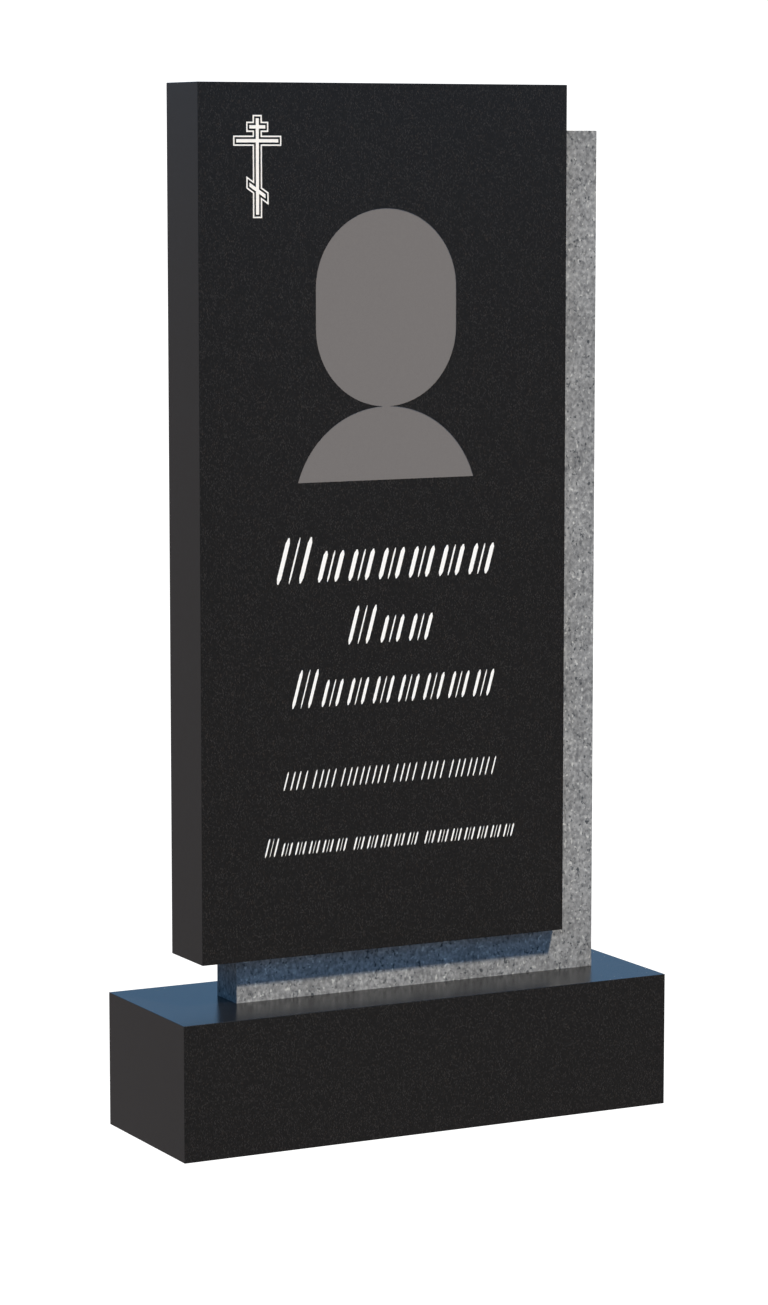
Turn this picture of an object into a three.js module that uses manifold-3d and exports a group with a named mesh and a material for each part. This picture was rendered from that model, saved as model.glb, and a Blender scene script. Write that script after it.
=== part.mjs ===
import * as THREE from "three";
import { mergeGeometries, mergeVertices } from "three/addons/utils/BufferGeometryUtils.js";
import Module from "manifold-3d";

// An upright grave marker of three stones: a black base, a grey backing slab that stands on it,
// and a black tablet that laps over the slab's front, top and left side.
// Millimetres, +Z up. The viewer looks along +Y, and the origin is under the middle of the base.

// Driving sizes of the base
const baseWidth = 600;
const baseDepth = 200;
const baseHeight = 150;

// Driving sizes of the backing slab
const slabWidth = 450;
const slabThickness = 50;
const slabHeight = 950;
const slabInset = 50; // from the base's right end to the slab's right edge

// Driving sizes of the tablet, which stands over the middle of the base's depth
const tabletWidth = 450;
const tabletThickness = 80;
const frontLap = 20; // stone in front of the slab's face
const sideLap = 50; // stone to the left of the slab
const topLap = 50; // stone above the slab
const footGap = 50; // from the base's top to the tablet's lower edge

// Joints and edges
const jointGap = 0.3; // bedding between two stones
const arris = 0.5; // small chamfer along every outer edge

// Depths of the carving in the tablet's face
const crossDepth = 2;
const matteDepth = 0.4; // the head-and-shoulders field

// The cross, measured from the tablet's top left corner to its middle line and its top
const crossInset = 69.7;
const crossDrop = 34.6;
const crossHeight = 109.3;
const crossBar = 10.9; // width of every bar
const crossRim = 1.6; // width of the outline cut
const crossLand = 2; // polished stone left between the outline and the inner cut
const shortBarLength = 26.1;
const shortBarDrop = 7.2;
const longBarLength = 56.9;
const longBarDrop = 21.9;
const footBarLength = 26.3;
const footBarDrop = 80; // to the middle of the foot bar
const footBarSlope = 33.7; // degrees, falling to the viewer's right

// The head-and-shoulders field, measured down from the tablet's top
const headDrop = 134.2;
const headWidth = 172;
const headHeight = 215;
const shoulderRadius = 112.7;
const shoulderHeight = 80.5;
const neckOverlap = 0.3;
const arcSteps = 28; // sides of a half circle

// The inscription: rows of plain slanted cuts that stand in groups of cells. A row is set by its foot
// line below the tablet's top, its left end from the tablet's middle, the cells in each group, the
// height of its first cell and of the others, the widths of both, a cut's width and a cell's cuts.
const cutSlant = 15.5; // degrees off upright
const cutTaper = 0.12; // share of a cut's height that each narrowing end takes
const cutEnd = 0.3; // width of a cut's very end, as a share of its width
const cutSteepness = 0.4; // depth of a cut, as a share of its width
const thinShare = 0.4; // width of the thin cut in the middle of a cell of three
const cellRun = 0.54; // share of a cell between the first cut and the last
const groupSpace = 2.6; // space between groups, in cuts' widths
const inscription = [
  {
    foot: 538.5,
    left: -135.5,
    groups: [7],
    first: 50,
    height: 34,
    lead: 50,
    cell: 37.3,
    width: 5.2,
    cuts: 3,
  },
  {
    foot: 608.5,
    left: -48.5,
    groups: [3],
    first: 42,
    height: 29.5,
    lead: 40,
    cell: 35.3,
    width: 4.4,
    cuts: 3,
  },
  {
    foot: 675.5,
    left: -117,
    groups: [8],
    first: 42,
    height: 29.5,
    lead: 36,
    cell: 31.4,
    width: 3.7,
    cuts: 3,
  },
  {
    foot: 765,
    left: -127,
    groups: [2, 2, 4, 2, 2, 4],
    first: 20.5,
    height: 20.5,
    lead: 15.2,
    cell: 15.2,
    width: 1.7,
    cuts: 2,
  },
  {
    foot: 837,
    left: -150,
    groups: [6, 5, 7],
    first: 20.5,
    height: 14.4,
    lead: 20,
    cell: 16.7,
    width: 1.9,
    cuts: 3,
  },
];

// Places worked out from the driving sizes
const baseTop = baseHeight;
const tabletFront = -tabletThickness / 2;
const tabletBack = tabletThickness / 2;
const slabFront = tabletFront + frontLap;
const slabRight = baseWidth / 2 - slabInset;
const slabLeft = slabRight - slabWidth;
const slabTop = baseTop + slabHeight;
const tabletLeft = slabLeft - sideLap;
const tabletRight = tabletLeft + tabletWidth;
const tabletMiddle = (tabletLeft + tabletRight) / 2;
const tabletTop = slabTop + topLap;
const tabletFoot = baseTop + footGap;
const beyond = 5; // how far a cutting shape runs past the stone that it cuts

const wasm = await Module();
wasm.setup();

const blackStone = new THREE.MeshStandardMaterial({ color: 0x1d1c1d, roughness: 0.16, metalness: 0 });
const greyStone = new THREE.MeshStandardMaterial({ color: 0x8f8f90, roughness: 0.6, metalness: 0 });

function solidOf(geometry) {
  const bare = geometry.clone();
  bare.deleteAttribute("normal");
  bare.deleteAttribute("uv");
  const merged = mergeVertices(bare, 1e-4);
  const mesh = new wasm.Mesh({
    numProp: 3,
    vertProperties: new Float32Array(merged.attributes.position.array),
    triVerts: new Uint32Array(merged.index.array),
  });
  return new wasm.Manifold(mesh);
}

function geometryOf(solid) {
  const mesh = solid.getMesh();
  const geometry = new THREE.BufferGeometry();
  geometry.setAttribute("position", new THREE.BufferAttribute(mesh.vertProperties, 3));
  geometry.setIndex(new THREE.BufferAttribute(mesh.triVerts, 1));
  const faceted = geometry.toNonIndexed();
  faceted.computeVertexNormals();
  return faceted;
}

function union(solids) {
  return solids.reduce((whole, solid) => whole.add(solid));
}

// A box between two corners, with the arris taken off all its edges.
function dressedBlock(low, high) {
  const width = high.x - low.x;
  const depth = high.y - low.y;
  const plan = new THREE.Shape();
  const right = width / 2 - arris;
  const back = depth / 2 - arris;
  plan.moveTo(-right, -back + arris);
  plan.lineTo(-right + arris, -back);
  plan.lineTo(right - arris, -back);
  plan.lineTo(right, -back + arris);
  plan.lineTo(right, back - arris);
  plan.lineTo(right - arris, back);
  plan.lineTo(-right + arris, back);
  plan.lineTo(-right, back - arris);
  plan.closePath();
  const geometry = new THREE.ExtrudeGeometry(plan, {
    depth: high.z - low.z - 2 * arris,
    bevelEnabled: true,
    bevelSegments: 1,
    bevelSize: arris,
    bevelThickness: arris,
  });
  return geometry.translate((low.x + high.x) / 2, (low.y + high.y) / 2, low.z + arris);
}

// A plain box between two corners.
function plainBlock(low, high) {
  const size = new THREE.Vector3().subVectors(high, low);
  const middle = new THREE.Vector3().addVectors(low, high).multiplyScalar(0.5);
  return new THREE.BoxGeometry(size.x, size.y, size.z).translate(middle.x, middle.y, middle.z);
}

// An outline drawn on the tablet's face, as a cutting shape that goes to the given depth.
function faceCutter(shape, depth) {
  const geometry = new THREE.ExtrudeGeometry(shape, {
    depth: depth + beyond,
    bevelEnabled: false,
    curveSegments: arcSteps,
  });
  return geometry.rotateX(Math.PI / 2).translate(0, tabletFront + depth, 0);
}

// The cross drawn smaller by the given inset on every side.
function crossSolid(inset) {
  const middle = tabletLeft + crossInset;
  const top = tabletTop - crossDrop;
  const half = crossBar / 2;
  const slope = THREE.MathUtils.degToRad(footBarSlope);
  const bars = [
    [middle, top - crossHeight / 2, crossBar, crossHeight, 0],
    [middle, top - shortBarDrop - half, shortBarLength, crossBar, 0],
    [middle, top - longBarDrop - half, longBarLength, crossBar, 0],
    [middle, top - footBarDrop, footBarLength, crossBar, slope],
  ];
  const cutters = bars.map(([x, z, length, width, angle]) => {
    const reach = length / 2 - inset;
    const rise = (width / 2 - inset) / Math.cos(angle);
    const fall = reach * Math.tan(angle);
    const bar = new THREE.Shape();
    bar.moveTo(x - reach, z + fall - rise);
    bar.lineTo(x + reach, z - fall - rise);
    bar.lineTo(x + reach, z - fall + rise);
    bar.lineTo(x - reach, z + fall + rise);
    bar.closePath();
    return solidOf(faceCutter(bar, crossDepth));
  });
  return union(cutters);
}

// An outline cut round the cross, and a narrower cross cut inside it.
function crossCut() {
  const outline = crossSolid(0).subtract(crossSolid(crossRim));
  return outline.add(crossSolid(crossRim + crossLand));
}

// The head is a round-ended upright field, and the shoulders are the top of a circle.
function portraitCut() {
  const radius = headWidth / 2;
  const headTop = tabletTop - headDrop;
  const headFoot = headTop - headHeight;
  const head = new THREE.Shape();
  head.absarc(tabletMiddle, headTop - radius, radius, 0, Math.PI, false);
  head.absarc(tabletMiddle, headFoot + radius, radius, Math.PI, 2 * Math.PI, false);
  head.closePath();
  const shoulderTop = headFoot + neckOverlap;
  const sink = shoulderRadius - shoulderHeight;
  const start = Math.asin(sink / shoulderRadius);
  const shoulders = new THREE.Shape();
  shoulders.absarc(tabletMiddle, shoulderTop - shoulderRadius, shoulderRadius, start, Math.PI - start, false);
  shoulders.closePath();
  return solidOf(faceCutter(head, matteDepth)).add(solidOf(faceCutter(shoulders, matteDepth)));
}

// One slanted cut with narrowing ends, from its foot point upwards.
function slantedCut(x, z, width, height, depth) {
  const lean = Math.tan(THREE.MathUtils.degToRad(cutSlant));
  const near = (1 - cutEnd) / 2;
  const outline = [
    [near, 0],
    [1 - near, 0],
    [1, cutTaper],
    [1, 1 - cutTaper],
    [1 - near, 1],
    [near, 1],
    [0, 1 - cutTaper],
    [0, cutTaper],
  ];
  const points = outline.map(([across, up]) => {
    return new THREE.Vector2(x + across * width + up * height * lean, z + up * height);
  });
  return faceCutter(new THREE.Shape(points), depth);
}

// The two or three cuts of a cell: broad ones at its ends, and a thin one between them.
function cellCuts(row, x, step, height) {
  const z = tabletTop - row.foot;
  const depth = row.width * cutSteepness;
  const gap = (step * cellRun) / (row.cuts - 1);
  const cuts = [];
  for (let i = 0; i < row.cuts; i += 1) {
    const thin = row.cuts === 3 && i === 1;
    const width = thin ? row.width * thinShare : row.width;
    cuts.push(slantedCut(x + gap * i + (row.width - width) / 2, z, width, height, depth));
  }
  return cuts;
}

// A row's groups from left to right, with a wider and taller cell at the start.
function rowCuts(row) {
  const cuts = [];
  let x = tabletMiddle + row.left;
  row.groups.forEach((cells, group) => {
    for (let i = 0; i < cells; i += 1) {
      const opening = group === 0 && i === 0;
      const step = opening ? row.lead : row.cell;
      cuts.push(...cellCuts(row, x, step, opening ? row.first : row.height));
      x += step;
    }
    x += groupSpace * row.width;
  });
  return cuts;
}

function inscriptionCut() {
  return solidOf(mergeGeometries(inscription.flatMap(rowCuts)));
}

function baseGeometry() {
  const low = new THREE.Vector3(-baseWidth / 2, -baseDepth / 2, 0);
  const high = new THREE.Vector3(baseWidth / 2, baseDepth / 2, baseTop);
  return dressedBlock(low, high);
}

function slabGeometry() {
  const low = new THREE.Vector3(slabLeft, slabFront, baseTop + jointGap);
  const high = new THREE.Vector3(slabRight, slabFront + slabThickness, slabTop);
  return dressedBlock(low, high);
}

// The tablet is one thick stone. A rebate in its back takes the slab, open to the right,
// to the back and below.
function tabletGeometry() {
  const low = new THREE.Vector3(tabletLeft, tabletFront, tabletFoot);
  const high = new THREE.Vector3(tabletRight, tabletBack, tabletTop);
  const rebateLow = new THREE.Vector3(slabLeft - jointGap, slabFront - jointGap, tabletFoot - beyond);
  const rebateHigh = new THREE.Vector3(tabletRight + beyond, tabletBack + beyond, slabTop + jointGap);
  const stone = solidOf(dressedBlock(low, high)).subtract(solidOf(plainBlock(rebateLow, rebateHigh)));
  const carved = union([crossCut(), portraitCut(), inscriptionCut()]);
  return geometryOf(stone.subtract(carved));
}

function stoneMesh(name, geometry, material) {
  const mesh = new THREE.Mesh(geometry, material);
  mesh.name = name;
  return mesh;
}

const headstone = new THREE.Group();
headstone.add(stoneMesh("base", baseGeometry(), blackStone));
headstone.add(stoneMesh("backing_slab", slabGeometry(), greyStone));
headstone.add(stoneMesh("tablet", tabletGeometry(), blackStone.clone()));

export default headstone;
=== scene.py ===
import math

import bmesh
import bpy
from mathutils import Matrix, Vector


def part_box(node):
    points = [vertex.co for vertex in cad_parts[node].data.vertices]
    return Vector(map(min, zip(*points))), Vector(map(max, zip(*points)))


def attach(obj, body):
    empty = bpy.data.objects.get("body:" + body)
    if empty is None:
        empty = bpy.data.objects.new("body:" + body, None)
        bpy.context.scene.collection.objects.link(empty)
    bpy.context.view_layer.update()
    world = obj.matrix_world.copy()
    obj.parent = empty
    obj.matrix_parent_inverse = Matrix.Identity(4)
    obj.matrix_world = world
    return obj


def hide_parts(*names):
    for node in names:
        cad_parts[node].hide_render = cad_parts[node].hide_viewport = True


# An upright grave marker: a polished black base, a grey granite slab standing on it, and a polished
# black tablet that laps over the slab. Settings are in millimetres and degrees, meshes in metres.

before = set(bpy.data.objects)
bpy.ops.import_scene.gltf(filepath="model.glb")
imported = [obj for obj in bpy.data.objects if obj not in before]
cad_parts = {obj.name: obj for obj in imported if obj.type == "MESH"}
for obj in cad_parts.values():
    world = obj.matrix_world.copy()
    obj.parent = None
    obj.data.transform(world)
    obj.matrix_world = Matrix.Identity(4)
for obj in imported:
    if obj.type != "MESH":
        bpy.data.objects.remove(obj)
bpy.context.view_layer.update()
scene = bpy.context.scene
scene.view_settings.view_transform = "Standard"  # white stays white
print("frame loaded:", ", ".join(sorted(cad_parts)))


def mm(*values):
    metres = [value / 1000 for value in values]
    return metres[0] if len(metres) == 1 else Vector(metres)


# Camera

cameraSettings = {
    "place": (-2036.7, -3911.2, 1072.4),
    "turn": 27.42,  # to the right of straight on
    "dip": 7.088,  # below level
    "lens": 110.26,
    "sensor": 36,  # along the picture's long side
}


def makeCamera(settings):
    data = bpy.data.cameras.new("camera")
    data.lens = settings["lens"]
    data.sensor_width = settings["sensor"]
    camera = bpy.data.objects.new("camera", data)
    camera.location = mm(*settings["place"])
    dip = math.radians(90 - settings["dip"])
    camera.rotation_euler = (dip, 0, -math.radians(settings["turn"]))
    scene.collection.objects.link(camera)
    scene.camera = camera


# Light: a soft sun from the front right, a weaker one from behind, an open sky and grey ground.

lightSettings = {
    "sun": {
        "towards": (0.351, -1.0, 1.585),
        "strength": 4.68,
        "colour": (1.0, 0.887, 0.698),
        "spread": 5,
    },
    "fill": {
        "towards": (0.5, 1.0, 0.25),
        "strength": 2.6,
        "colour": (1.0, 0.93, 0.86),
        "spread": 25,
    },
    # What the polish mirrors: the ground in front and behind, and the sky by the height's sine.
    "groundFront": (0.266, 0.258, 0.257),
    "groundBack": (0.308, 0.283, 0.280),
    "groundEdge": -0.05,  # where the ground begins to fade into the sky
    "glossSky": [
        (0.0, (0.31, 0.295, 0.298)),
        (0.06, (0.315, 0.36, 0.44)),
        (0.16, (0.20, 0.398, 0.655)),
        (0.35, (0.18, 0.41, 0.74)),
        (1.0, (0.16, 0.32, 0.60)),
    ],
    # The soft light by the height's sine, from the ground up, and its share in front and behind.
    "softSky": [
        (-0.02, (0.398, 0.408, 0.426)),
        (0.0, (0.139, 0.362, 0.67)),
        (0.55, (0.135, 0.345, 0.643)),
        (0.7, (0.033, 0.084, 0.165)),
        (1.0, (0.033, 0.084, 0.165)),
    ],
    "softFront": 1.137,
    "softBack": 0.28,
    "backdrop": 1.2,  # brightness of floor and background, in the picture only
}

floorSettings = {"size": 40000, "drop": 0.2}


def addNode(tree, kind, **settings):
    node = tree.nodes.new(kind)
    for name, value in settings.items():
        setattr(node, name, value)
    return node


def feed(tree, node, **inputs):
    # Inputs go by name, or by number as i0, i1 and so on.
    for name, value in inputs.items():
        socket = node.inputs[int(name[1:])] if name[1:].isdigit() else node.inputs[name]
        if isinstance(value, bpy.types.NodeSocket):
            tree.links.new(value, socket)
        else:
            socket.default_value = value
    return node


def calc(tree, operation, first, second=0.0, third=0.0):
    node = addNode(tree, "ShaderNodeMath", operation=operation)
    return feed(tree, node, i0=first, i1=second, i2=third).outputs[0]


def opaque(colour):
    return (*colour, 1)


def colourRamp(tree, value, stops, low=0.0):
    # Colours along a value that runs from low to 1.
    share = calc(tree, "DIVIDE", calc(tree, "SUBTRACT", value, low), 1 - low)
    node = addNode(tree, "ShaderNodeValToRGB")
    ramp = node.color_ramp
    while len(ramp.elements) < len(stops):
        ramp.elements.new(0.5)
    for element, (level, colour) in zip(ramp.elements, stops):
        element.position = (level - low) / (1 - low)
        element.color = opaque(colour)
    return feed(tree, node, Fac=share).outputs["Color"]


def mixColour(tree, share, first, second):
    node = addNode(tree, "ShaderNodeMix", data_type="RGBA")
    return feed(tree, node, i0=share, i6=first, i7=second).outputs[2]


def scaled(tree, colour, factor):
    node = addNode(tree, "ShaderNodeVectorMath", operation="SCALE")
    return feed(tree, node, i0=colour, Scale=factor).outputs[0]


def stepUp(tree, value, start, end):
    node = addNode(tree, "ShaderNodeMapRange", interpolation_type="SMOOTHSTEP")
    return feed(tree, node, i0=value, i1=start, i2=end, i3=0.0, i4=1.0).outputs[0]


def makeLamp(name, settings):
    data = bpy.data.lights.new(name, "SUN")
    data.energy = settings["strength"]
    data.color = settings["colour"]
    data.angle = math.radians(settings["spread"])
    lamp = bpy.data.objects.new(name, data)
    lamp.rotation_euler = Vector(settings["towards"]).to_track_quat("Z", "Y").to_euler()
    scene.collection.objects.link(lamp)
    return lamp


def makeSky(settings):
    world = bpy.data.worlds.new("sky")
    scene.world = world
    world.use_nodes = True
    tree = world.node_tree
    tree.nodes.clear()
    direction = addNode(tree, "ShaderNodeTexCoord").outputs["Generated"]
    axes = feed(tree, addNode(tree, "ShaderNodeSeparateXYZ"), i0=direction).outputs
    height = axes["Z"]
    rays = addNode(tree, "ShaderNodeLightPath").outputs
    behind = calc(tree, "MULTIPLY_ADD", axes["Y"], 0.5, 0.5)  # 0 in front of the stone, 1 behind it
    ground = [opaque(settings[name]) for name in ("groundFront", "groundBack")]
    ground = mixColour(tree, behind, *ground)
    gloss = colourRamp(tree, height, settings["glossSky"])
    gloss = mixColour(tree, stepUp(tree, height, settings["groundEdge"], 0.0), ground, gloss)
    front = settings["softFront"]
    share = calc(tree, "MULTIPLY_ADD", behind, settings["softBack"] - front, front)
    soft = scaled(tree, colourRamp(tree, height, settings["softSky"], low=-1), share)
    seen = mixColour(tree, rays["Is Diffuse Ray"], gloss, soft)
    seen = mixColour(tree, rays["Is Camera Ray"], seen, opaque([settings["backdrop"]] * 3))
    light = feed(tree, addNode(tree, "ShaderNodeBackground"), Color=seen).outputs[0]
    feed(tree, addNode(tree, "ShaderNodeOutputWorld"), Surface=light)


def makeFloor(settings, brightness):
    mesh = bpy.data.meshes.new("floor")
    half = mm(settings["size"]) / 2
    height = -mm(settings["drop"])
    corners = [(-half, -half), (half, -half), (half, half), (-half, half)]
    mesh.from_pydata([(x, y, height) for x, y in corners], [], [(0, 1, 2, 3)])
    material = bpy.data.materials.new("white floor")
    material.use_nodes = True
    tree = material.node_tree
    tree.nodes.clear()
    light = feed(tree, addNode(tree, "ShaderNodeEmission"), Strength=brightness).outputs[0]
    feed(tree, addNode(tree, "ShaderNodeOutputMaterial"), Surface=light)
    mesh.materials.append(material)
    floor = bpy.data.objects.new("floor", mesh)
    scene.collection.objects.link(floor)
    for way in ("diffuse", "glossy", "transmission", "shadow"):
        setattr(floor, "visible_" + way, False)


makeCamera(cameraSettings)
makeLamp("sun", lightSettings["sun"])
makeLamp("fill", lightSettings["fill"]).visible_glossy = False  # no second sun in the polish
makeSky(lightSettings)
makeFloor(floorSettings, lightSettings["backdrop"])
print("camera, light and floor made")


# Finishes. A scale is the number of grains to a metre. A pair of levels says where a pattern
# starts to show and where it is full.

gabbroSettings = {
    "ground": (0.0009, 0.0007, 0.0007),
    "flecks": (0.0300, 0.0272, 0.0265),
    "rust": (0.0318, 0.0250, 0.0213),
    "rustScale": 240,
    "rustLevels": (0.52, 0.68),
    "bendScale": 420,
    "bendReach": 1.6,
    "lathScale": 900,  # across the laths
    "lathStretch": 0.45,
    "lathTurns": [(10, 62, 0), (0, -58, 20), (75, 10, -35)],
    "lathLevels": (0.62, 0.18),
    "lathShare": 0.5,
    "cloudScale": 90,
    "cloudLevels": (-0.25, 0.75),
    "fineScale": 900,
    "fineLevels": (0.36, 0.74),
    "fineShare": 0.22,
    "roughness": 0.24,
    "ior": 1.5,
}

graniteSettings = {
    "grain": [
        (0.0, (0.122, 0.123, 0.131)),
        (0.35, (0.209, 0.210, 0.218)),
        (0.7, (0.297, 0.297, 0.305)),
        (1.0, (0.432, 0.431, 0.436)),
    ],
    "mica": (0.055, 0.06, 0.068),
    "white": (0.50, 0.50, 0.495),
    "squeeze": (1, 1, 0.82),
    "bendScale": 300,
    "bendReach": 2,
    "grainScale": 330,
    "mottleScale": 264,
    "toneGain": 0.42,
    "mottleGain": 1.5,
    "mottleShift": -0.48,
    "micaScale": 270,
    "micaLevels": (0.60, 0.72),
    "micaOffset": (7, 3, 1),
    "whiteScale": 240,
    "whiteLevels": (0.64, 0.75),
    "whiteOffset": (2, 9, 5),
    "cloudScale": 30,
    "cloudGain": 0.7,
    "cloudOffset": (5, 1, 8),
    "roughness": 0.62,
    "ior": 1.5,
    "shine": 0.3,
}

blastedSettings = {
    "colours": [(0.3, (0.152, 0.139, 0.138)), (0.7, (0.176, 0.162, 0.160))],
    "grainScale": 1500,
    "bumpStrength": 0.15,
    "bumpHeight": 0.2,
    "roughness": 0.85,
    "ior": 1.45,
}

enamelSettings = {
    "cross": [(0.3, (0.93, 0.885, 0.85)), (0.7, (0.97, 0.925, 0.89))],
    "strokes": [(0.3, (0.94, 0.915, 0.905)), (0.7, (0.98, 0.955, 0.945))],
    "grainScale": 350,
    "roughness": 0.4,
    "ior": 1.5,
}


def newMaterial(name):
    material = bpy.data.materials.new(name)
    material.use_nodes = True
    tree = material.node_tree
    tree.nodes.clear()
    shader = addNode(tree, "ShaderNodeBsdfPrincipled")
    feed(tree, addNode(tree, "ShaderNodeOutputMaterial"), Surface=shader.outputs[0])
    place = addNode(tree, "ShaderNodeTexCoord").outputs["Object"]
    return material, tree, shader, place


def surface(tree, shader, colour, settings):
    values = {"Base Color": colour, "Roughness": settings["roughness"], "IOR": settings["ior"]}
    feed(tree, shader, **values)


def turned(tree, place, turn, scale):
    turn = [math.radians(angle) for angle in turn]
    node = addNode(tree, "ShaderNodeMapping")
    return feed(tree, node, Vector=place, Rotation=turn, Scale=scale).outputs[0]


def shifted(tree, place, offset):
    node = addNode(tree, "ShaderNodeMapping")
    return feed(tree, node, Vector=place, Location=offset).outputs[0]


def noise(tree, place, scale, detail, output="Fac"):
    node = addNode(tree, "ShaderNodeTexNoise")
    return feed(tree, node, Vector=place, Scale=scale, Detail=detail).outputs[output]


def bent(tree, place, settings):
    push = noise(tree, place, settings["bendScale"], 1, "Color")
    centred = addNode(tree, "ShaderNodeVectorMath", operation="SUBTRACT")
    push = feed(tree, centred, i0=push, i1=(0.5, 0.5, 0.5)).outputs[0]
    reach = [mm(settings["bendReach"])] * 3
    node = addNode(tree, "ShaderNodeVectorMath", operation="MULTIPLY_ADD")
    return feed(tree, node, i0=push, i1=reach, i2=place).outputs[0]


def cells(tree, place, scale):
    # The distance from a cell's middle, and one tone for each cell.
    node = feed(tree, addNode(tree, "ShaderNodeTexVoronoi"), Vector=place, Scale=scale)
    tone = feed(tree, addNode(tree, "ShaderNodeSeparateColor"), i0=node.outputs["Color"])
    return node.outputs["Distance"], tone.outputs[0]


def polishedGabbro(settings):
    # Short pale laths that lie three ways in a black ground, some of them rusty.
    material, tree, shader, place = newMaterial("polished black gabbro")
    bentPlace = bent(tree, place, settings)
    flecks = None
    for turn in settings["lathTurns"]:
        lathPlace = turned(tree, bentPlace, turn, (1, 1, settings["lathStretch"]))
        distance, tone = cells(tree, lathPlace, settings["lathScale"])
        body = stepUp(tree, distance, *settings["lathLevels"])
        chosen = stepUp(tree, tone, 1 - settings["lathShare"], 1)
        laths = calc(tree, "MULTIPLY", body, chosen)
        flecks = laths if flecks is None else calc(tree, "MAXIMUM", flecks, laths)
    clouds = noise(tree, place, settings["cloudScale"], 3)
    flecks = calc(tree, "MULTIPLY", flecks, stepUp(tree, clouds, *settings["cloudLevels"]))
    fine = stepUp(tree, noise(tree, place, settings["fineScale"], 1), *settings["fineLevels"])
    fine = calc(tree, "MULTIPLY", fine, settings["fineShare"])
    flecks = calc(tree, "MAXIMUM", flecks, fine)
    rust = stepUp(tree, noise(tree, place, settings["rustScale"], 1), *settings["rustLevels"])
    fleckColour = mixColour(tree, rust, opaque(settings["flecks"]), opaque(settings["rust"]))
    colour = mixColour(tree, flecks, opaque(settings["ground"]), fleckColour)
    surface(tree, shader, colour, settings)
    return material


def greyGranite(settings):
    # Grey grains with dark mica and white crystals, a little lighter and darker in broad patches.
    material, tree, shader, place = newMaterial("light grey granite")
    place = turned(tree, place, (0, 0, 0), settings["squeeze"])
    bentPlace = bent(tree, place, settings)
    tone = cells(tree, bentPlace, settings["grainScale"])[1]
    mottle = noise(tree, place, settings["mottleScale"], 3)
    value = calc(tree, "MULTIPLY_ADD", mottle, settings["mottleGain"], settings["mottleShift"])
    value = calc(tree, "MULTIPLY_ADD", tone, settings["toneGain"], value)
    colour = colourRamp(tree, value, settings["grain"])
    for name, detail in (("mica", 2), ("white", 1)):
        spots = shifted(tree, place, settings[name + "Offset"])
        spots = noise(tree, spots, settings[name + "Scale"], detail)
        spots = stepUp(tree, spots, *settings[name + "Levels"])
        colour = mixColour(tree, spots, colour, opaque(settings[name]))
    clouds = shifted(tree, place, settings["cloudOffset"])
    clouds = noise(tree, clouds, settings["cloudScale"], 2)
    gain = settings["cloudGain"]
    colour = scaled(tree, colour, calc(tree, "MULTIPLY_ADD", clouds, gain, 1 - gain / 2))
    surface(tree, shader, colour, settings)
    feed(tree, shader, **{"Specular IOR Level": settings["shine"]})
    return material


def blastedGabbro(settings):
    material, tree, shader, place = newMaterial("blasted grey field")
    grain = noise(tree, place, settings["grainScale"], 2)
    surface(tree, shader, colourRamp(tree, grain, settings["colours"]), settings)
    bump = addNode(tree, "ShaderNodeBump")
    reach = mm(settings["bumpHeight"])
    bump = feed(tree, bump, Strength=settings["bumpStrength"], Distance=reach, Height=grain)
    feed(tree, shader, Normal=bump.outputs[0])
    return material


def whiteEnamel(name, colours, settings):
    material, tree, shader, place = newMaterial(name)
    grain = noise(tree, place, settings["grainScale"], 3)
    surface(tree, shader, colourRamp(tree, grain, colours), settings)
    return material


gabbro = polishedGabbro(gabbroSettings)
granite = greyGranite(graniteSettings)
blasted = blastedGabbro(blastedSettings)
crossWhite = whiteEnamel("warm white enamel", enamelSettings["cross"], enamelSettings)
strokeWhite = whiteEnamel("white enamel", enamelSettings["strokes"], enamelSettings)
print("finishes made")


# Mesh tools


def newObject(name, mesh, material=None):
    made = bpy.data.objects.new(name, mesh)
    scene.collection.objects.link(made)
    if material is not None:
        mesh.materials.append(material)
    return made


def block(name, low, high, material, arris=0.0, arrisSteps=1, keepFoot=False):
    # A cut stone. Its lower edges stay sharp where the foot is kept.
    low = Vector(low)
    high = Vector(high)
    mesh = bpy.data.meshes.new(name)
    solid = bmesh.new()
    bmesh.ops.create_cube(solid, size=1)
    shape = Matrix.Translation((high + low) / 2) @ Matrix.Diagonal((*(high - low), 1))
    bmesh.ops.transform(solid, matrix=shape, verts=solid.verts)
    if arris:
        foot = low.z + arris if keepFoot else low.z - arris
        edges = [edge for edge in solid.edges if max(vert.co.z for vert in edge.verts) > foot]
        rounding = {"offset": arris, "segments": arrisSteps, "profile": 0.5}
        bmesh.ops.bevel(solid, geom=edges, affect="EDGES", **rounding)
    solid.to_mesh(mesh)
    solid.free()
    return newObject(name, mesh, material)


def plate(name, outline, near, far, material=None):
    # A flat shape across X and Z, between two depths, its outline anticlockwise from the front.
    count = len(outline)
    points = [(x, near, z) for x, z in outline] + [(x, far, z) for x, z in outline]
    faces = [tuple(range(count)), tuple(range(2 * count - 1, count - 1, -1))]
    faces += [(i, i + count, (i + 1) % count + count, (i + 1) % count) for i in range(count)]
    mesh = bpy.data.meshes.new(name)
    mesh.from_pydata(points, [], faces)
    return newObject(name, mesh, material)


def settle(piece):
    # The piece with its modifiers worked in, as a plain mesh.
    graph = bpy.context.evaluated_depsgraph_get()
    mesh = bpy.data.meshes.new_from_object(piece.evaluated_get(graph), depsgraph=graph)
    piece.modifiers.clear()
    old = piece.data
    piece.data = mesh
    bpy.data.meshes.remove(old)


def combine(piece, tool, operation):
    modifier = piece.modifiers.new("cut", "BOOLEAN")
    modifier.object = tool
    modifier.operation = operation
    modifier.solver = "EXACT"
    modifier.material_mode = "TRANSFER"
    settle(piece)
    bpy.data.objects.remove(tool)
    return piece


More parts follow.
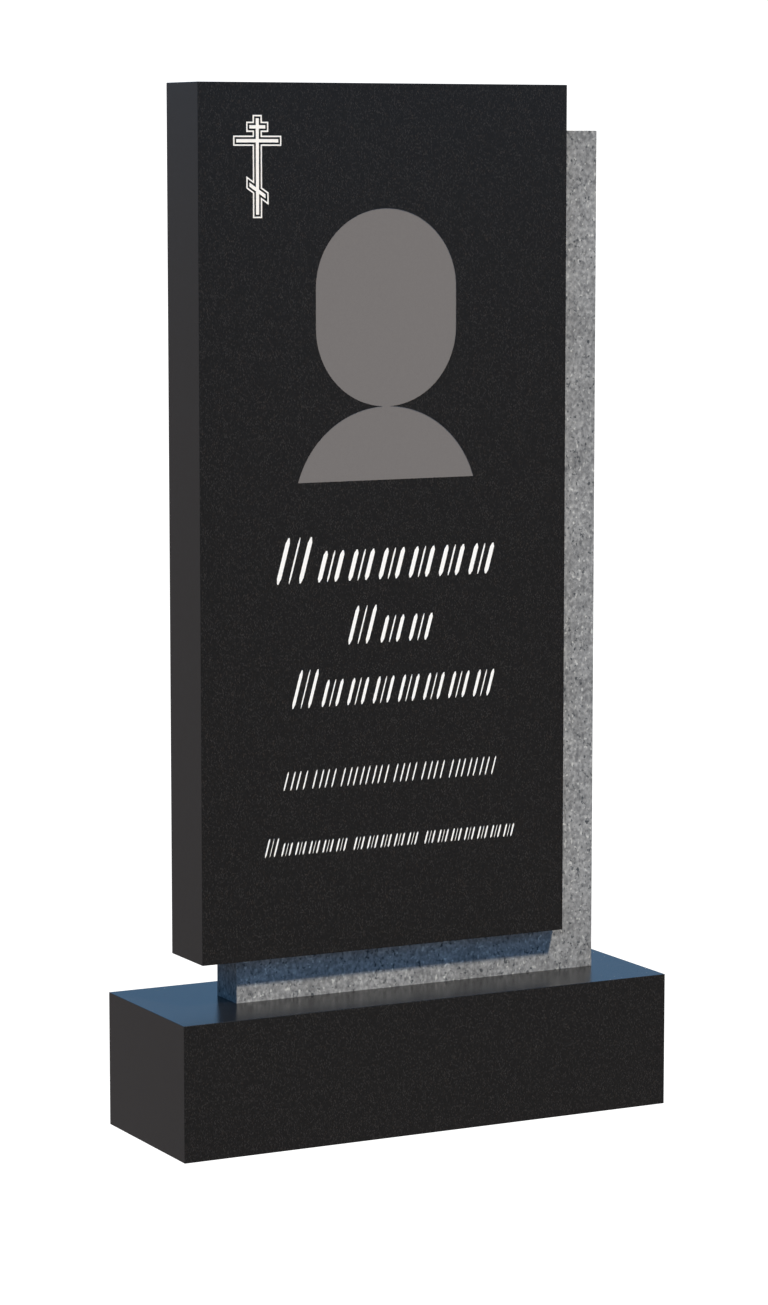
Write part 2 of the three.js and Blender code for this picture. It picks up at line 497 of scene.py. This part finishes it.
def joined(name, pieces, material=None):
    mesh = bpy.data.meshes.new(name)
    whole = bmesh.new()
    for piece in pieces:
        whole.from_mesh(piece.data)
        bpy.data.objects.remove(piece)
    whole.to_mesh(mesh)
    whole.free()
    return newObject(name, mesh, material)


def handOver(piece, slot=None, node=None):
    # Every piece stands on the one body, and a stone also takes its solid's place.
    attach(piece, "root")
    if slot:
        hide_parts(node)


# Base and backing slab

stoneSettings = {
    "arris": 0.5,
    "arrisSteps": 3,
    "bedding": 0.3,  # joint between slab and tablet
}


def cutStone(name, low, high, material, keepFoot=False):
    arris = mm(stoneSettings["arris"])
    return block(name, low, high, material, arris, stoneSettings["arrisSteps"], keepFoot)


def makeBase():
    base = cutStone("base_stone", *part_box("base"), gabbro)
    handOver(base, "black_base_stone", "base")


def makeSlab():
    # It stands right on the base, so it reaches down to the base's top.
    low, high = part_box("backing_slab")
    low.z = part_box("base")[1].z
    slab = cutStone("granite_slab", low, high, granite, keepFoot=True)
    handOver(slab, "grey_granite", "backing_slab")


makeBase()
makeSlab()
print("base and slab made")


# Tablet

tabletLow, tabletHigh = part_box("tablet")
slabLow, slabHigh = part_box("backing_slab")
tabletFace = tabletLow.y
tabletTop = tabletHigh.z
tabletMiddle = (tabletLow.x + tabletHigh.x) / 2
beyond = mm(5)  # how far a cutter reaches past the stone

crossSettings = {
    "inset": 69.7,  # from the tablet's left edge to the cross's middle line
    "drop": 34.6,  # from the tablet's top to the cross's
    "height": 109.3,
    "bar": 10.9,
    "rim": 1.6,
    "land": 2.0,  # polished stone between the rim and the inner cross
    "shortBar": (26.1, 7.2),  # length, and drop from the cross's top
    "longBar": (56.9, 21.9),
    "footBar": (26.3, 80),  # its drop is to its middle
    "footSlope": 33.7,
    "depth": 2,
    "fill": 0.1,  # enamel's surface below the tablet's face
}

fieldSettings = {
    "drop": 134.2,
    "width": 172,
    "height": 215,
    "shoulderRadius": 112.7,
    "shoulderHeight": 80.5,
    "overlap": 0.3,
    "depth": 0.4,
    "steps": 72,
}

strokeSettings = {
    "slant": 15.5,
    "taper": 0.12,  # share of a stroke's height that each narrowing end takes
    "end": 0.3,  # width of a stroke's very end, as a share of its width
    "steepness": 0.4,  # depth, as a share of the width
    "thinShare": 0.4,  # width of a cell's thin middle stroke
    "run": 0.54,  # share of a cell between its first stroke and its last
    "space": 2.6,  # between groups, in strokes' widths
    "fill": 0.1,
    # Each row: foot line below the tablet's top, left end from its middle, cells in each group,
    # strokes in a cell, a stroke's width, and height and step of the first cell and of the others.
    "rows": [
        {
            "foot": 538.5, "left": -135.5, "groups": [7], "strokes": 3, "width": 5.2,
            "first": (50, 50), "others": (34, 37.3),
        },
        {
            "foot": 608.5, "left": -48.5, "groups": [3], "strokes": 3, "width": 4.4,
            "first": (42, 40), "others": (29.5, 35.3),
        },
        {
            "foot": 675.5, "left": -117, "groups": [8], "strokes": 3, "width": 3.7,
            "first": (42, 36), "others": (29.5, 31.4),
        },
        {
            "foot": 765, "left": -127, "groups": [2, 2, 4, 2, 2, 4], "strokes": 2, "width": 1.7,
            "first": (20.5, 15.2), "others": (20.5, 15.2),
        },
        {
            "foot": 837, "left": -150, "groups": [6, 5, 7], "strokes": 3, "width": 1.9,
            "first": (20.5, 20), "others": (14.4, 16.7),
        },
    ],
}


def crossBars(inset, near, far):
    # The cross's upright and three bars as one shape, each edge moved inwards by the inset.
    centre = tabletLow.x + mm(crossSettings["inset"])
    crossTop = tabletTop - mm(crossSettings["drop"])
    half = mm(crossSettings["bar"]) / 2
    height = mm(crossSettings["height"])
    bars = [(crossTop - height / 2, 2 * half, height / 2, 0)]  # middle, length, half height, slope
    for name, slope in (("shortBar", 0), ("longBar", 0), ("footBar", crossSettings["footSlope"])):
        length, drop = crossSettings[name]
        z = crossTop - mm(drop) - (0 if slope else half)
        bars.append((z, mm(length), half, math.radians(slope)))
    whole = None
    for z, length, rise, slope in bars:
        reach = length / 2 - inset
        up = (rise - inset) / math.cos(slope)
        fall = reach * math.tan(slope)
        outline = [
            (centre - reach, z + fall - up),
            (centre + reach, z - fall - up),
            (centre + reach, z - fall + up),
            (centre - reach, z + fall + up),
        ]
        bar = plate("bar", outline, near, far)
        whole = bar if whole is None else combine(whole, bar, "UNION")
    return whole


def crossMarks(name, drop, material):
    # A band round the cross, and a narrower cross inside it.
    near = tabletFace + drop
    far = tabletFace + mm(crossSettings["depth"])
    rim = mm(crossSettings["rim"])
    inner = crossBars(rim, near - beyond, far + beyond)
    band = combine(crossBars(0, near, far), inner, "DIFFERENCE")
    core = crossBars(rim + mm(crossSettings["land"]), near, far)
    return joined(name, [band, core], material)


def arc(x, z, radius, start, end, steps):
    angles = [start + (end - start) * i / steps for i in range(steps + 1)]
    return [(x + radius * math.cos(angle), z + radius * math.sin(angle)) for angle in angles]


def fieldCutters():
    # A head with straight sides, and a segment of a disc for the shoulders.
    steps = fieldSettings["steps"]
    radius = mm(fieldSettings["width"]) / 2
    headTop = tabletTop - mm(fieldSettings["drop"])
    headFoot = headTop - mm(fieldSettings["height"])
    head = arc(tabletMiddle, headTop - radius, radius, 0, math.pi, steps)
    head += arc(tabletMiddle, headFoot + radius, radius, math.pi, 2 * math.pi, steps)
    shoulder = mm(fieldSettings["shoulderRadius"])
    centre = headFoot + mm(fieldSettings["overlap"]) - shoulder
    start = math.asin((shoulder - mm(fieldSettings["shoulderHeight"])) / shoulder)
    shoulders = arc(tabletMiddle, centre, shoulder, start, math.pi - start, steps)
    far = tabletFace + mm(fieldSettings["depth"])
    near = tabletFace - beyond
    return [plate("field", outline, near, far, blasted) for outline in (head, shoulders)]


def unitStroke():
    # One upright stroke, 1 wide, 1 deep and 1 high, with narrowing ends.
    taper = strokeSettings["taper"]
    cut = (1 - strokeSettings["end"]) / 2
    rightSide = [(1 - cut, 0), (1, taper), (1, 1 - taper), (1 - cut, 1)]
    leftSide = [(1 - x, z) for x, z in reversed(rightSide)]
    return plate("stroke", rightSide + leftSide, 0, 1)


def strokeTree():
    # Lays cells of slanted strokes in a run. In a cell of three strokes, the middle one is thin.
    tree = bpy.data.node_groups.new("runOfStrokes", "GeometryNodeTree")
    sockets = tree.interface
    sockets.new_socket("Stroke", in_out="INPUT", socket_type="NodeSocketGeometry")
    for name in ("Cells", "Strokes in a Cell"):
        sockets.new_socket(name, in_out="INPUT", socket_type="NodeSocketInt")
    for name in ("Step", "Run Share", "Width", "Depth", "Height", "Thin Share", "Lean"):
        sockets.new_socket(name, in_out="INPUT", socket_type="NodeSocketFloat")
    sockets.new_socket("Material", in_out="INPUT", socket_type="NodeSocketMaterial")
    sockets.new_socket("Strokes", in_out="OUTPUT", socket_type="NodeSocketGeometry")
    given = addNode(tree, "NodeGroupInput").outputs
    index = addNode(tree, "GeometryNodeInputIndex").outputs[0]
    perCell = given["Strokes in a Cell"]
    cell = calc(tree, "FLOOR", calc(tree, "DIVIDE", calc(tree, "ADD", index, 0.5), perCell))
    order = calc(tree, "SUBTRACT", index, calc(tree, "MULTIPLY", cell, perCell))
    gap = calc(tree, "MULTIPLY", given["Step"], given["Run Share"])
    gap = calc(tree, "DIVIDE", gap, calc(tree, "SUBTRACT", perCell, 1))
    inMiddle = calc(tree, "COMPARE", order, 1, 0.1)
    thin = calc(tree, "MULTIPLY", inMiddle, calc(tree, "GREATER_THAN", perCell, 2.5))
    lost = calc(tree, "MULTIPLY", thin, calc(tree, "SUBTRACT", 1, given["Thin Share"]))
    width = calc(tree, "MULTIPLY", given["Width"], calc(tree, "SUBTRACT", 1, lost))
    aside = calc(tree, "MULTIPLY", calc(tree, "SUBTRACT", given["Width"], width), 0.5)
    along = calc(tree, "MULTIPLY_ADD", cell, given["Step"], aside)
    along = calc(tree, "MULTIPLY_ADD", order, gap, along)
    count = calc(tree, "MULTIPLY", given["Cells"], perCell)
    points = feed(tree, addNode(tree, "GeometryNodeMeshLine"), Count=count).outputs[0]
    spot = feed(tree, addNode(tree, "ShaderNodeCombineXYZ"), X=along).outputs[0]
    laid = addNode(tree, "GeometryNodeSetPosition")
    points = feed(tree, laid, Geometry=points, Position=spot).outputs[0]
    size = addNode(tree, "ShaderNodeCombineXYZ")
    size = feed(tree, size, X=width, Y=given["Depth"], Z=given["Height"]).outputs[0]
    strokes = addNode(tree, "GeometryNodeInstanceOnPoints")
    strokes = feed(tree, strokes, Points=points, Instance=given["Stroke"], Scale=size).outputs[0]
    strokes = feed(tree, addNode(tree, "GeometryNodeRealizeInstances"), Geometry=strokes).outputs[0]
    position = addNode(tree, "GeometryNodeInputPosition").outputs[0]
    height = feed(tree, addNode(tree, "ShaderNodeSeparateXYZ"), i0=position).outputs["Z"]
    lean = calc(tree, "MULTIPLY", height, given["Lean"])
    lean = feed(tree, addNode(tree, "ShaderNodeCombineXYZ"), X=lean).outputs[0]
    slanted = addNode(tree, "GeometryNodeSetPosition")
    strokes = feed(tree, slanted, Geometry=strokes, Offset=lean).outputs[0]
    finish = addNode(tree, "GeometryNodeSetMaterial")
    strokes = feed(tree, finish, Geometry=strokes, Material=given["Material"]).outputs[0]
    feed(tree, addNode(tree, "NodeGroupOutput"), Strokes=strokes)
    return tree


def strokeRun(tree, x, z, near, far, material, inputs):
    run = unitStroke()
    modifier = run.modifiers.new("strokes", "NODES")
    modifier.node_group = tree
    inputs = {**inputs, "Depth": far - near, "Material": material}
    for item in tree.interface.items_tree:
        if item.in_out == "INPUT" and item.name in inputs:
            modifier[item.identifier] = inputs[item.name]
    settle(run)
    run.data.transform(Matrix.Translation((x, near, z)))
    return run


def rowRuns(tree, row, near, far, material):
    x = tabletMiddle + mm(row["left"])
    z = tabletTop - mm(row["foot"])
    width = mm(row["width"])
    runs = []
    for group, count in enumerate(row["groups"]):
        parts = [(row["others"], count)]
        if group == 0:
            parts = [(row["first"], 1), (row["others"], count - 1)]
        for (height, step), cellCount in parts:
            inputs = {
                "Cells": cellCount,
                "Strokes in a Cell": row["strokes"],
                "Step": mm(step),
                "Run Share": strokeSettings["run"],
                "Width": width,
                "Height": mm(height),
                "Thin Share": strokeSettings["thinShare"],
                "Lean": math.tan(math.radians(strokeSettings["slant"])),
            }
            runs.append(strokeRun(tree, x, z, near, far, material, inputs))
            x += mm(step) * cellCount
        x += strokeSettings["space"] * width
    return runs


def inscriptionMarks(tree, name, drop, material):
    runs = []
    for row in strokeSettings["rows"]:
        far = tabletFace + mm(row["width"]) * strokeSettings["steepness"]
        runs += rowRuns(tree, row, tabletFace + drop, far, material)
    return joined(name, runs, material)


def makeTablet(tree):
    tablet = cutStone("tablet_stone", tabletLow, tabletHigh, gabbro)
    bedding = mm(stoneSettings["bedding"])
    rebateLow = (slabLow.x - bedding, slabLow.y - bedding, tabletLow.z - beyond)
    rebateHigh = (tabletHigh.x + beyond, tabletHigh.y + beyond, slabHigh.z + bedding)
    combine(tablet, block("rebate", rebateLow, rebateHigh, gabbro), "DIFFERENCE")
    for cutter in fieldCutters():
        combine(tablet, cutter, "DIFFERENCE")
    combine(tablet, crossMarks("cross cutter", -beyond, gabbro), "DIFFERENCE")
    combine(tablet, inscriptionMarks(tree, "stroke cutter", -beyond, gabbro), "DIFFERENCE")
    handOver(tablet, "black_tablet_stone", "tablet")


def makeEnamel(tree):
    handOver(crossMarks("cross_enamel", mm(crossSettings["fill"]), crossWhite))
    fill = mm(strokeSettings["fill"])
    handOver(inscriptionMarks(tree, "inscription_enamel", fill, strokeWhite))


strokesTree = strokeTree()
makeTablet(strokesTree)
print("tablet made")
makeEnamel(strokesTree)
print("enamel made")
